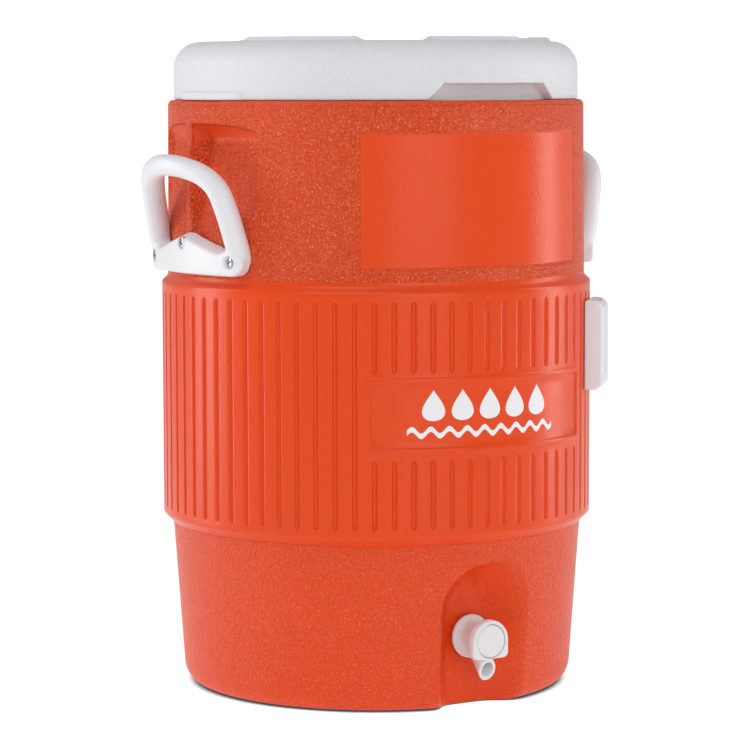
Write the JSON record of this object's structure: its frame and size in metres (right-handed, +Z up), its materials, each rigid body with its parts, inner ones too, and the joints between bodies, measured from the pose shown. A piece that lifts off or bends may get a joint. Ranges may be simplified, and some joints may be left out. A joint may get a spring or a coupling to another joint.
{
  "type": "beverage dispenser",
  "caption": "Insulated round drink dispenser with ribbed belt, lift-off seat lid, side handles, cup-holder bracket and push-button spigot.",
  "frame": {"origin": "centre of the base, on the surface that the dispenser stands on", "axes": "+Z up, -Y out of the spigot, handles along X, bracket towards +X"},
  "size_m": [0.3746, 0.3306, 0.4945],
  "materials": {
    "orange_shell": "grained polyethylene, satin",
    "foam": "rigid polyurethane foam",
    "white_liner": "smooth polyethylene",
    "black_plug": "moulded stopper",
    "white_moulding": "smooth moulded plastic, satin",
    "chrome_screws": "plated",
    "white_lid": "fine-grained polyethylene",
    "pale_seal": "food-grade rubber",
    "white_spigot": "smooth moulded plastic",
    "white_seal": "soft washer",
    "spring_steel": "bright wire"
  },
  "bodies": {
    "cooler": {"outer_shell": "orange_shell", "body_foam": "foam", "inner_liner": "white_liner", "foam_fill_plug": "black_plug", "handle_left": "white_moulding", "handle_right": "white_moulding", "handle_screws_left": "chrome_screws", "handle_screws_right": "chrome_screws", "cup_bracket": "white_moulding", "bracket_screws": "chrome_screws", "spigot_body": "white_spigot", "spigot_flange_gasket": "white_seal", "spigot_inner_gasket": "white_seal", "spigot_nut": "white_spigot", "spigot_spring": "spring_steel"},
    "lid": {"lid_shell": "white_lid", "lid_foam": "foam", "lid_underside": "white_lid", "lid_gasket": "pale_seal"},
    "spigot_valve": {"spigot_button": "white_spigot", "spigot_stem": "white_spigot", "spigot_valve_seal": "pale_seal"}
  },
  "joints": [
    {"name": "lift_off", "type": "slide", "parent": "cooler", "child": "lid", "axis": [0, 0, 1], "range_m": [0, 0.1]},
    {"name": "button_push", "type": "slide", "parent": "cooler", "child": "spigot_valve", "axis": [0, 1, 0], "range_m": [0, 0.0045], "stiffness_N_per_m": 1000, "springref_m": -0.004, "deforming": ["spigot_spring"]}
  ]
}
